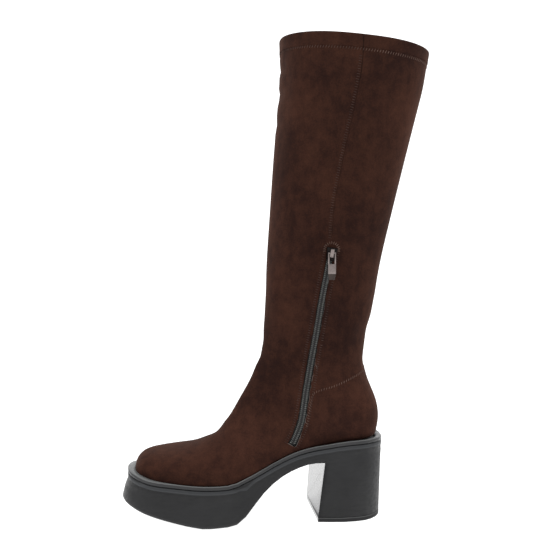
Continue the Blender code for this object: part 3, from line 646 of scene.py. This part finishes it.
stitching = {
    "hem": {"pitch": 2.6 * mm, "length": 3.1 * mm, "radius": 0.26 * mm, "slant": 72.0,
            "drop": 12.8 * mm},
    "side": {"pitch": 2.3 * mm, "length": 3.2 * mm, "radius": 0.21 * mm, "slant": 86.0,
             "offset": 2.2 * mm},
    "zip": {"pitch": 2.3 * mm, "length": 2.7 * mm, "radius": 0.24 * mm, "slant": 84.0,
            "offset": 6.4 * mm},
    "arch": {"count": 13, "length": 3.0 * mm, "thick": 0.28 * mm, "radius": 6.6 * mm,
             "centre": (-0.0236, 0.2580), "start": -10.0, "sweep": 200.0},
    "counter": {"pitch": 2.5 * mm, "length": 2.5 * mm, "radius": 0.25 * mm, "slant": 60.0},
    "back": {"pitch": 2.9 * mm, "length": 2.0 * mm, "radius": 0.30 * mm, "slant": 0.0,
             "offset": 2.0 * mm},
}


def hemRing(drop):
    height = rimPlane(drop)
    cx, cy = collar["middle"]
    ring = []
    for i in range(collar["ringPoints"]):
        angle = 2.0 * math.pi * i / collar["ringPoints"]
        out = Vector((math.cos(angle), math.sin(angle), 0.0))
        point = Vector((cx, cy, 0.0)) + out * collar["outside"]
        # the rim's height depends on x, so the place is found in a few steps
        for _ in range(3):
            point.z = height(point.x)
            start = Vector((cx, cy, point.z)) + out * collar["outside"]
            hit = skin.ray_cast(start, -out)[0]
            if hit is not None:
                point = hit
        ring.append(point)
    ring.append(ring[0])
    return ring


def stitchRow(shape, places, look):
    row = smoothLine(places, look["pitch"])
    stitchLine(shape, row, look["length"], look["radius"], look["slant"])


def buildStitches():
    thread = threadMaterial("brownThread", "bright", threadLook)
    faint = threadMaterial("darkThread", "faint", threadLook)
    look = stitching["hem"]
    shape = bmesh.new()
    ring = smoothLine(hemRing(look["drop"]), look["pitch"])
    stitchLine(shape, ring[:-1], look["length"], look["radius"], look["slant"])
    for face in shape.faces:
        face.material_index = 1 if face.calc_center_median().x < threadLook["softUpTo"] else 0
    soft = threadMaterial("darkerFrontThread", "soft", threadLook)
    finishPiece("hemStitches", shape, (thread, soft), "boot")

    look = stitching["side"]
    shape = bmesh.new()
    stitchRow(shape, fromSide(offsetLine(seamLines["side"][1:], look["offset"])), look)
    finishPiece("sideSeamStitches", shape, (faint,), "boot")

    look = stitching["zip"]
    shape = bmesh.new()
    for shift in (-look["offset"], look["offset"]):
        stitchRow(shape, fromSide(offsetLine(seamLines["zip"][1:], shift)), look)
    finishPiece("zipStitches", shape, (faint,), "boot")

    shape = bmesh.new()
    arch = stitching["arch"]
    cx, cz = arch["centre"]
    places = []
    for i in range(arch["count"]):
        angle = math.radians(arch["start"] + arch["sweep"] * i / (arch["count"] - 1))
        places.append((cx + arch["radius"] * math.cos(angle), cz + arch["radius"] * math.sin(angle)))
    stitchLine(shape, fromSide(places), arch["length"], arch["thick"], 90.0)
    finishPiece("zipArchStitches", shape, (thread,), "boot")

    look = stitching["counter"]
    shape = bmesh.new()
    medial = fromSide(seamLines["counter"])
    lateral = fromSide(seamLines["counterLateral"], 1.0)
    behind = fromBack(seamLines["counterBack"])
    stitchRow(shape, medial + behind + lateral, look)
    finishPiece("counterStitches", shape, (thread,), "boot")

    look = stitching["back"]
    shape = bmesh.new()
    for shift in (-look["offset"], look["offset"]):
        stitchRow(shape, fromBack([(y + shift, z) for y, z in seamLines["back"]]), look)
    finishPiece("backSeamStitches", shape, (thread,), "boot")


buildStitches()
print("stitches done")


# Zip: woven tape, coil on its bed, metal slider and pull
zipLook = {
    "coilPitch": 1.8 * mm,
    "toothLength": 2.2 * mm,
    "toothWidth": 0.58 * mm,
    "toothHeight": 0.62 * mm,
    "toothLift": 0.35 * mm,
    "spread": 1.75 * mm,
    "chevron": 22.0,
    "bedDrop": 0.9 * mm,
    # near black: the tape's own black, deepened with painted shade in the slot beside the coil
    "tape": ((0.004, 0.004, 0.004), (0.012, 0.011, 0.011)),
    "coil": ((0.028, 0.030, 0.028), (0.088, 0.091, 0.085)),
    "metal": ((0.180, 0.150, 0.142), (0.290, 0.250, 0.240)),
    # near black: painted shade on the slider's body below its bridge
    "shadedSliderMetal": ((0.006, 0.0055, 0.0055), (0.022, 0.019, 0.018)),
    # darker: painted shade on the pull's chamfered lower end
    "shadedBevelMetal": ((0.030, 0.024, 0.022), (0.060, 0.049, 0.045)),
    "bridgeFrom": 4.7 * mm,
    "bridgeWidth": 0.85,
    "sliderAcross": (0.9854, -0.0218, -0.1686),
    "sliderOut": (-0.0325, -0.9976, -0.0613),
    "edgeCrease": 0.3,
    "edgeAngle": 35.0,
    "pull": {
        "middle": (-0.024287, -0.050225),
        "top": 0.25580,
        "pivot": 0.25509,
        "plateTop": 0.2452,
        "bevelTop": 0.2362,
        "bottom": 0.2307,
        "width": 7.3 * mm,
        "thick": 1.4 * mm,
        "prong": 1.25 * mm,
        "edge": 0.22 * mm,
        "lastEdge": 0.1 * mm,
        "taper": 0.74,
        "chamfer": 0.7 * mm,
        "prongFoot": 0.5 * mm,
        "prongDepth": 0.8,
        "pinRadius": 0.55 * mm,
        "pinInset": 0.4 * mm,
    },
}


def tapeMaterial(look):
    material, tree, shader = newMaterial("wovenTapeAndSlotShade", 0.8)
    space = objectSpace(tree)
    ribs = addNode(tree, "ShaderNodeTexWave", {"Scale": 420.0, "Distortion": 0.6},
                   bands_direction="Z")
    tree.links.new(space, ribs.inputs["Vector"])
    fuzz = noise(tree, space, 2200.0, 2.0, 0.6)
    weave = calc(tree, "MULTIPLY", ribs.outputs["Fac"], fuzz)
    # the tape's black, deepened as painted shade beside the coil
    colour = blendColours(tree, spread(tree, weave, 0.1, 0.6), *look["tape"])
    tree.links.new(colour, shader.inputs["Base Color"])
    bump(tree, shader, weave, 0.5, 0.2 * mm)
    return material


def coilMaterial(look):
    material, tree, shader = newMaterial("zipCoilPlastic", 0.38)
    space = objectSpace(tree)
    tone = spread(tree, noise(tree, space, 500.0, 2.0, 0.5), 0.3, 0.7)
    tree.links.new(blendColours(tree, tone, *look["coil"]), shader.inputs["Base Color"])
    bump(tree, shader, noise(tree, space, 3000.0, 1.0, 0.5), 0.2, 0.05 * mm)
    return material


def metalMaterial(name, tones):
    material, tree, shader = newMaterial(name, 0.3, 1.0)
    space = objectSpace(tree)
    cloud = noise(tree, space, 240.0, 3.0, 0.6)
    scratch = noise(tree, objectSpace(tree, scale=(1.0, 1.0, 0.08)), 5200.0, 2.0, 0.6)
    tree.links.new(blendColours(tree, cloud, *tones), shader.inputs["Base Color"])
    tree.links.new(spread(tree, scratch, 0.3, 0.7, (0.24, 0.42)), shader.inputs["Roughness"])
    bump(tree, shader, scratch, 0.15, 0.02 * mm)
    return material


def addBar(shape, low, high, edge):
    # a box between two corners, with its edges rounded
    low, high = Vector(low), Vector(high)
    matrix = Matrix.Translation(0.5 * (low + high)) @ Matrix.Diagonal((*(high - low), 1.0))
    made = bmesh.ops.create_cube(shape, size=1.0, matrix=matrix)["verts"]
    edges = list({e for v in made for e in v.link_edges})
    if edge > 0.0:
        bmesh.ops.bevel(shape, geom=edges, offset=edge, segments=2, profile=0.5, affect="EDGES",
                        material=-1)


def buildPull(look):
    # plate with a chamfered lower end, two prongs up to the pin in the slider's bridge
    shape = bmesh.new()
    x, y = look["middle"]
    half, deep = 0.5 * look["width"], 0.5 * look["thick"]
    addBar(shape, (x - half, y - deep, look["bottom"]), (x + half, y + deep, look["plateTop"]), 0.0)
    geometry = shape.verts[:] + shape.edges[:] + shape.faces[:]
    bmesh.ops.bisect_plane(shape, geom=geometry, dist=1e-6, plane_co=(0.0, 0.0, look["bevelTop"]),
                           plane_no=(0.0, 0.0, 1.0))
    for vert in shape.verts:
        if vert.co.z < look["bottom"] + look["lastEdge"]:
            vert.co.x = x + (vert.co.x - x) * look["taper"]
            vert.co.y += look["chamfer"] if vert.co.y < y else 0.0
    bmesh.ops.bevel(shape, geom=shape.edges[:], offset=look["edge"], segments=2, profile=0.5,
                    affect="EDGES", material=-1)
    reach = deep * look["prongDepth"]
    for side in (-1.0, 1.0):
        outer, inner = x + side * half, x + side * (half - look["prong"])
        addBar(shape, (min(outer, inner), y - reach, look["plateTop"] - look["prongFoot"]),
               (max(outer, inner), y + reach, look["top"]), look["edge"])
    pin = Matrix.Translation((x, y, look["pivot"])) @ Matrix.Rotation(math.radians(90.0), 4, "Y")
    bmesh.ops.create_cone(shape, cap_ends=True, segments=16, radius1=look["pinRadius"],
                          radius2=look["pinRadius"], depth=2.0 * half - look["pinInset"], matrix=pin)
    return shape


def buildZip(look):
    tape = copyOfNode("zip_tape")
    creaseEdges(tape, meshing["hardEdge"], look["edgeCrease"])
    tape = subdivided("zipTape", tape, 1)
    woven = tapeMaterial(look)
    finishPiece("zipTape", tape, (woven,), "boot", ("zip_tape",))

    coil = copyOfNode("zip_coil")
    creaseEdges(coil, meshing["hardEdge"], look["edgeCrease"])
    coil.normal_update()
    for vert in coil.verts:
        if vert.normal.y < 0.0:
            vert.co.y += look["bedDrop"]
    coil = subdivided("zipCoil", coil, 1)
    bedFaces = len(coil.faces)
    bed = BVHTree.FromBMesh(coil)
    line = smoothLine([(x, 0.0, z) for x, z in seamLines["zip"]], look["coilPitch"])
    for i, point in enumerate(line[1:-1], 1):
        start = Vector((point.x, -castFrom, point.z))
        hit, outward, _, _ = bed.ray_cast(start, Vector((0.0, 1.0, 0.0)))
        if hit is None or outward.y > -0.5:
            continue
        up = line[i + 1] - line[i - 1]
        up = (up - outward * up.dot(outward)).normalized()
        side = up.cross(outward)
        for sign in (-1.0, 1.0):
            lean = Matrix.Rotation(math.radians(sign * look["chevron"]), 3, outward) @ side
            middle = hit + side * sign * look["spread"] + outward * look["toothLift"]
            if sign > 0.0:
                middle = middle + up * 0.5 * look["coilPitch"]
            turn = Matrix((lean.cross(outward), outward, lean)).transposed().to_4x4()
            size = Matrix.Diagonal((look["toothWidth"], look["toothHeight"],
                                    0.5 * look["toothLength"], 1.0))
            bmesh.ops.create_uvsphere(coil, u_segments=8, v_segments=6, radius=1.0,
                                      matrix=Matrix.Translation(middle) @ turn @ size)
    for i, face in enumerate(coil.faces):
        face.material_index = 0 if i < bedFaces else 1
    finishPiece("zipCoil", coil, (woven, coilMaterial(look)), "boot", ("zip_coil",))

    metal = metalMaterial("gunmetalBright", look["metal"])
    dark = metalMaterial("gunmetalPaintedShade", look["shadedSliderMetal"])
    slider = copyOfNode("zip_slider")
    across, out = Vector(look["sliderAcross"]), Vector(look["sliderOut"])
    lowest = min(vert.co.dot(out) for vert in slider.verts)
    middle = sum(vert.co.dot(across) for vert in slider.verts) / len(slider.verts)
    for vert in slider.verts:
        if vert.co.dot(out) - lowest > look["bridgeFrom"]:
            vert.co += across * (middle - vert.co.dot(across)) * (1.0 - look["bridgeWidth"])
    # the slider's body below the bridge gets the near-black copy: painted shade
    for face in slider.faces:
        raised = face.calc_center_median().dot(out) - lowest > look["bridgeFrom"]
        face.material_index = 1 if raised else 0
    finishPiece("zipSlider", slider, (dark, metal), "boot", ("zip_slider",),
                look["edgeAngle"])
    pull = buildPull(look["pull"])
    # the pull's chamfered lower end gets the darker copy: painted shade
    for face in pull.faces:
        face.material_index = 1 if face.calc_center_median().z < look["pull"]["bevelTop"] else 0
    shaded = metalMaterial("gunmetalShaded", look["shadedBevelMetal"])
    finishPiece("zipPull", pull, (metal, shaded), "zip_pull", ("zip_pull",),
                look["edgeAngle"])


buildZip(zipLook)
print("zip done")


# Sole unit: side wall, glossy heel breast with a painted reflection, and tread, with the welt and the
# heel's top piece
soleLook = {
    "edgeAngle": 33.0,
    "weltReach": 2.2 * mm,
    "liftGap": 0.28 * mm,
    "side": ((0.0085, 0.0085, 0.0092), (0.0150, 0.0150, 0.0158)),
    # painted highlight on the band under the welt
    "band": (0.034, 0.036, 0.039),
    "bandFrom": 1.0,
    "bandTo": 4.4,
    "welt": ((0.020, 0.020, 0.021), (0.034, 0.034, 0.035)),
    # painted highlight where the welt faces up
    "weltPaintedHighlight": (0.105, 0.108, 0.108),
    "topPiece": ((0.0085, 0.0085, 0.0090), (0.0150, 0.0150, 0.0156)),
    # painted highlight along the top piece's upper edge
    "liftEdgeHighlight": (0.060, 0.060, 0.060),
    # light grey: painted reflection of the pale floor on the glossy breast
    "breast": (0.150, 0.150, 0.156),
    "breastX": (-0.0380, -0.0250),
    "breastTop": 0.0560,
    "insole": ((0.090, 0.066, 0.048), (0.150, 0.112, 0.084)),
    "specular": 0.22,
    "grain": 2400.0,
    "liftHighlightHeight": (3.3 * mm, 3.7 * mm),
    "treadFacing": -0.75,
    "treadTop": 0.075,
    "breastFacing": -0.85,
    "weltFacing": 0.3,
    "weltAngle": 50.0,
    "weltHeel": (0.010, 0.020),      # from where the welt reaches inwards, and over what run
    "weltToe": (-0.170, 0.025),
    "liftTop": 3.9 * mm,
    "insoleCrease": 0.25,
}


def rubberMaterial(name, tones, roughness, band=None, line=None, paintedTopHighlight=None):
    material, tree, shader = newMaterial(name, roughness)
    shader.inputs["Specular IOR Level"].default_value = soleLook["specular"]
    space = objectSpace(tree)
    cloud = spread(tree, noise(tree, space, 32.0, 4.0, 0.55), 0.32, 0.68)
    fine = noise(tree, space, soleLook["grain"], 2.0, 0.6)
    scuff = noise(tree, objectSpace(tree, scale=(0.25, 1.0, 1.0)), 420.0, 3.0, 0.6)
    share = calc(tree, "ADD", calc(tree, "MULTIPLY", cloud, 0.6), calc(tree, "MULTIPLY", fine, 0.4))
    colour = blendColours(tree, share, *tones)
    if band is not None:
        # a lighter band under the welt, brightest near its lower edge: painted highlight
        below = attribute(tree, "belowRim")
        start, end = band["bandFrom"], band["bandTo"]
        inside = calc(tree, "MULTIPLY", spread(tree, below, start - 0.2, start + 0.4),
                      spread(tree, below, end - 0.5, end + 0.2, (1.0, 0.0)))
        ridge = calc(tree, "MULTIPLY", spread(tree, below, end - 1.2, end - 0.6),
                     spread(tree, below, end - 0.2, end + 0.2, (1.0, 0.0)))
        share = calc(tree, "ADD", calc(tree, "MULTIPLY", inside, 0.60),
                     calc(tree, "MULTIPLY", ridge, 0.40))
        colour = blendColours(tree, share, colour, band["band"])
    if paintedTopHighlight is not None:
        # lighter where the welt faces up: painted highlight
        upwards = addNode(tree, "ShaderNodeSeparateXYZ")
        tree.links.new(addNode(tree, "ShaderNodeTexCoord").outputs["Normal"], upwards.inputs[0])
        colour = blendColours(tree, spread(tree, upwards.outputs["Z"], 0.62, 0.96), colour, paintedTopHighlight)
    if line is not None:
        # a light line just under the top of the heel's top piece: painted highlight
        height = addNode(tree, "ShaderNodeSeparateXYZ")
        tree.links.new(space, height.inputs[0])
        liftHighlightShare = spread(tree, height.outputs["Z"], *soleLook["liftHighlightHeight"])
        colour = blendColours(tree, calc(tree, "MULTIPLY", liftHighlightShare, 0.8), colour, line)
    tree.links.new(colour, shader.inputs["Base Color"])
    rough = spread(tree, scuff, 0.35, 0.70, (roughness - 0.07, roughness + 0.12))
    tree.links.new(rough, shader.inputs["Roughness"])
    bump(tree, shader, fine, 0.18, 0.06 * mm)
    return material


def treadMaterial(name, tones):
    material, tree, shader = newMaterial(name, 0.6)
    space = objectSpace(tree)
    bars = addNode(tree, "ShaderNodeTexWave", {"Scale": 62.0, "Distortion": 0.0},
                   bands_direction="X", wave_profile="TRI")
    tree.links.new(space, bars.inputs["Vector"])
    cuts = spread(tree, bars.outputs["Fac"], 0.10, 0.30)
    fine = noise(tree, space, soleLook["grain"], 2.0, 0.6)
    # the grooves are darker: painted shade in the bump's grooves
    share = calc(tree, "MULTIPLY", cuts, spread(tree, fine, 0.2, 0.8, (0.6, 1.0)))
    tree.links.new(blendColours(tree, share, *tones), shader.inputs["Base Color"])
    bump(tree, shader, cuts, 0.8, 0.9 * mm)
    return material


def breastMaterial(colour):
    material, tree, shader = newMaterial("heelBreastPaintedReflection", 0.14)
    # light grey with faint streaks: painted reflection of the floor on the glossy breast, which also
    # has a real coat
    streak = noise(tree, objectSpace(tree, scale=(1.0, 1.0, 0.12)), 260.0, 3.0, 0.5)
    shaded = tuple(c * 0.84 for c in colour)
    tree.links.new(blendColours(tree, spread(tree, streak, 0.3, 0.7), shaded, colour),
                   shader.inputs["Base Color"])
    shader.inputs["Specular IOR Level"].default_value = 0.6
    shader.inputs["Coat Weight"].default_value = 0.55
    shader.inputs["Coat Roughness"].default_value = 0.10
    return material


def insoleMaterial(tones):
    material, tree, shader = newMaterial("insoleLeather", 0.7)
    space = objectSpace(tree)
    cells = addNode(tree, "ShaderNodeTexVoronoi", {"Scale": 900.0})
    tree.links.new(space, cells.inputs["Vector"])
    tone = spread(tree, noise(tree, space, 40.0, 3.0, 0.5), 0.3, 0.7)
    tree.links.new(blendColours(tree, tone, *tones), shader.inputs["Base Color"])
    bump(tree, shader, cells.outputs["Distance"], 0.25, 0.15 * mm)
    return material


def markRim(shape):
    # how far each place of the side lies below the welt's lower edge, in mm
    welt = copyOfNode("welt")
    edge = KDTree(len(welt.verts))
    for i, vert in enumerate(welt.verts):
        edge.insert((vert.co.x, vert.co.y, 0.0), i)
    edge.balance()
    heights = [vert.co.z for vert in welt.verts]
    layer = shape.verts.layers.float.new("belowRim")
    for vert in shape.verts:
        near = edge.find_n((vert.co.x, vert.co.y, 0.0), 8)
        vert[layer] = (min(heights[i] for _, i, _ in near) - vert.co.z) / mm
    welt.free()


def buildSole(look):
    side = rubberMaterial("soleRubber", look["side"], 0.50, band=look)
    tread = treadMaterial("soleTread", look["topPiece"])
    breast = breastMaterial(look["breast"])
    sole = copyOfNode("sole", quads=False)
    markRim(sole)
    sole.normal_update()
    low, high = look["breastX"]
    for face in sole.faces:
        middle = face.calc_center_median()
        if face.normal.z < look["treadFacing"] and middle.z < look["treadTop"]:
            face.material_index = 1
        elif (face.normal.x < look["breastFacing"] and low < middle.x < high
              and middle.z < look["breastTop"]):
            face.material_index = 2
        else:
            face.material_index = 0
    finishPiece("soleUnit", sole, (side, tread, breast), "boot", ("sole",),
                look["edgeAngle"])

    welt = copyOfNode("welt", quads=False)
    welt.normal_update()
    heelFrom, heelRun = look["weltHeel"]
    toeFrom, toeRun = look["weltToe"]
    for vert in welt.verts:
        inwards = towardsInside(vert.co)
        inwards.z = 0.0
        inwards.normalize()
        ends = max((vert.co.x - heelFrom) / heelRun, (toeFrom - vert.co.x) / toeRun)
        if vert.normal.dot(inwards) > look["weltFacing"] and ends > 0.0:
            vert.co += inwards * look["weltReach"] * min(ends, 1.0)
    rim = rubberMaterial("weltRubber", look["welt"], 0.36, paintedTopHighlight=look["weltPaintedHighlight"])
    finishPiece("soleWelt", welt, (rim,), "boot", ("welt",), look["weltAngle"])

    topPiece = copyOfNode("heel_top_piece", quads=False)
    for vert in topPiece.verts:
        if vert.co.z > look["liftTop"]:
            vert.co.z += look["liftGap"]
    topPiece.normal_update()
    for face in topPiece.faces:
        if face.normal.z < look["treadFacing"]:
            face.material_index = 1
        else:
            face.material_index = 2 if face.normal.x < look["breastFacing"] else 0
    lift = rubberMaterial("topPieceRubber", look["topPiece"], 0.5, line=look["liftEdgeHighlight"])
    finishPiece("heelTopPiece", topPiece, (lift, tread, breast), "boot",
                ("heel_top_piece",), look["edgeAngle"])

    insole = copyOfNode("insole")
    creaseEdges(insole, meshing["hardEdge"], look["insoleCrease"])
    insole = subdivided("insole", insole, 1)
    leather = insoleMaterial(look["insole"])
    finishPiece("sockInsole", insole, (leather,), "boot", ("insole",))


buildSole(soleLook)
print("sole done")


# Pale floor that curves up behind the boot, and soft studio light
studio = {
    "paper": (0.35, 0.35, 0.35),
    "glow": 1.0,
    "front": -3.0,
    "backWall": 1.6,
    "halfWidth": 3.2,
    "height": 3.0,
    "curve": 1.0,
    "world": (1.0, 1.0, 1.0),
    "worldStrength": 0.85,
    "lamps": (
        # name, place, aim, size, watts
        ("topSoftbox", (-0.10, -0.25, 1.60), (-0.05, 0.0, 0.15), 1.4, 16.0),
        ("backSoftbox", (1.30, -0.35, 0.90), (0.0, 0.0, 0.20), 0.9, 5.0),
        ("frontSoftbox", (-1.30, -0.60, 0.80), (-0.10, 0.0, 0.15), 0.9, 6.0),
    ),
}


def buildStudio(look):
    shape = bmesh.new()
    corners = [shape.verts.new((x, y, 0.0)) for x, y in (
        (-look["halfWidth"], look["front"]), (look["halfWidth"], look["front"]),
        (look["halfWidth"], look["backWall"]), (-look["halfWidth"], look["backWall"]))]
    shape.faces.new(corners)
    shape.edges.ensure_lookup_table()
    back = [e for e in shape.edges if all(v.co.y > 0.0 for v in e.verts)]
    raised = bmesh.ops.extrude_edge_only(shape, edges=back)["geom"]
    bmesh.ops.translate(shape, vec=(0.0, 0.0, look["height"]),
                        verts=[v for v in raised if isinstance(v, bmesh.types.BMVert)])
    # the edge between floor and back wall
    fold = [e for e in shape.edges if all(v.co.y > 0.0 and v.co.z < 0.01 for v in e.verts)]
    bmesh.ops.bevel(shape, geom=fold, offset=look["curve"], segments=16, profile=0.5, affect="EDGES",
                    material=-1)
    mesh = meshOf("studioPaper", shape)
    paper = bpy.data.objects.new("studioPaper", mesh)
    bpy.context.scene.collection.objects.link(paper)
    mesh.shade_smooth()
    material, _, shader = newMaterial("studioPaper", 0.9)
    shader.inputs["Base Color"].default_value = (*look["paper"], 1.0)
    shader.inputs["Specular IOR Level"].default_value = 0.1
    shader.inputs["Emission Color"].default_value = (1.0, 1.0, 1.0, 1.0)
    shader.inputs["Emission Strength"].default_value = look["glow"]
    mesh.materials.append(material)

    world = bpy.data.worlds.new("studioWorld")
    world.use_nodes = True
    background = world.node_tree.nodes["Background"]
    background.inputs["Color"].default_value = (*look["world"], 1.0)
    background.inputs["Strength"].default_value = look["worldStrength"]
    bpy.context.scene.world = world
    bpy.context.scene.view_settings.view_transform = "Standard"

    for name, place, aim, size, watts in look["lamps"]:
        data = bpy.data.lights.new(name, "AREA")
        data.shape = "DISK"
        data.size = size
        data.energy = watts
        lamp = bpy.data.objects.new(name, data)
        lamp.location = place
        lamp.rotation_euler = (Vector(aim) - Vector(place)).to_track_quat("-Z", "Y").to_euler()
        bpy.context.scene.collection.objects.link(lamp)


buildStudio(studio)
print("studio done")
